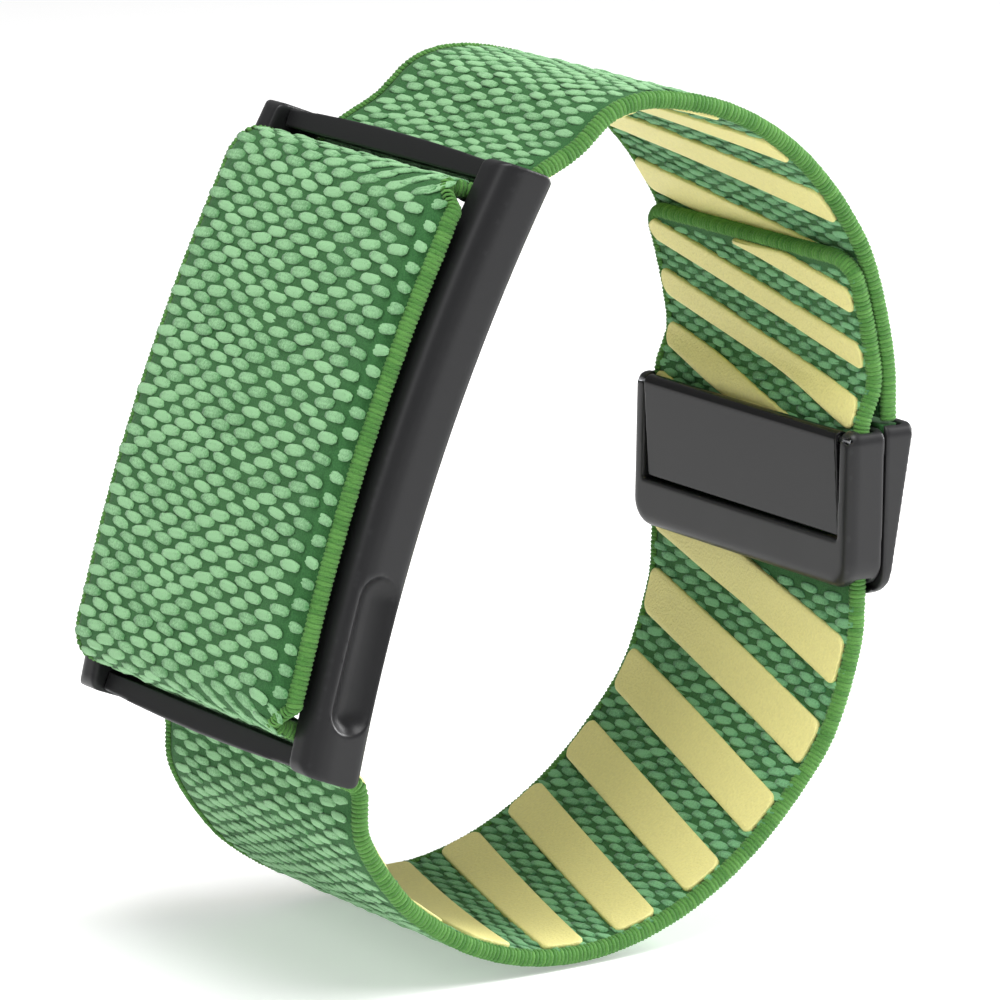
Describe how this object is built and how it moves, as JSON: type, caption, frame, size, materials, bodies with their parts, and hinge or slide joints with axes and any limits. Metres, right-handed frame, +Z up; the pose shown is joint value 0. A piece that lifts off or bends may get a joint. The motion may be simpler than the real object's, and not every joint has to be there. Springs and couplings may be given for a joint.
{
  "type": "woven wrist strap with sensor pod",
  "caption": "Woven wrist strap with overlocked edges that carries an activity sensor pod in a moulded frame, closed by a slider buckle with a lock lever and a hooked outer clip.",
  "frame": {"origin": "middle of the wrist opening, where the wearer's wrist lies", "axes": "+Z up, +X from the sensor pod towards the buckle, Y along the wearer's arm; the frame leans 21.6 degrees about Y with its top towards +X"},
  "size_m": [0.0528, 0.031, 0.0601],
  "materials": {
    "strap_cloth": "coarse woven yarn, two greens, overlocked edge, printed grip stripes inside",
    "frame_plastic": "fine satin moulding",
    "pod_plastic": "satin moulding",
    "gasket": "matt",
    "window": "polished",
    "baffle": "matt black",
    "lamp": "clear green",
    "lamp_red": "clear red",
    "receiver": "dark blue glaze",
    "circuit_board": "green lacquer",
    "cell_foil": "pressed foil",
    "flex_film": "amber film",
    "gold_plate": "polished plating",
    "lever_plastic": "polished",
    "steel": "drawn"
  },
  "bodies": {
    "band": {"strap": "strap_cloth", "side_rail_near": "frame_plastic", "side_rail_far": "frame_plastic", "end_bar_upper": "frame_plastic", "end_bar_lower": "frame_plastic", "buckle_body": "frame_plastic", "lever_pin": "steel", "clip_catch": "steel"},
    "sensor_pod": {"pod_front_case": "pod_plastic", "pod_skin_case": "pod_plastic", "case_gasket": "gasket", "sensor_window": "window", "optical_baffle": "baffle", "led_1": "lamp", "led_2": "lamp", "led_3": "lamp", "led_red": "lamp_red", "led_infrared": "receiver", "photodiode_1": "receiver", "photodiode_2": "receiver", "photodiode_3": "receiver", "photodiode_4": "receiver", "sensor_board": "circuit_board", "main_board": "circuit_board", "battery_cell": "cell_foil", "haptic_motor": "steel", "flex_link": "flex_film", "charge_contact_1": "gold_plate", "charge_contact_2": "gold_plate", "charge_contact_3": "gold_plate"},
    "lever": {"lock_lever": "lever_plastic"},
    "clip": {"outer_clip": "frame_plastic", "strap_end_tab": "strap_cloth", "anchor_pin": "steel"}
  },
  "joints": [
    {"name": "lever_hinge", "type": "hinge", "parent": "band", "child": "lever", "pos_m": [0.0177, 0, 0.00485], "axis": [0, 1, 0], "range_deg": [0, 95]},
    {"name": "clip_hinge", "type": "hinge", "parent": "band", "child": "clip", "pos_m": [0.01982, 0, -0.00605], "axis": [0, 1, 0], "range_deg": [0, 30]},
    {"name": "pod_slide", "type": "slide", "parent": "band", "child": "sensor_pod", "axis": [0.9298, 0, -0.3681], "range_m": [0, 0.009]}
  ]
}
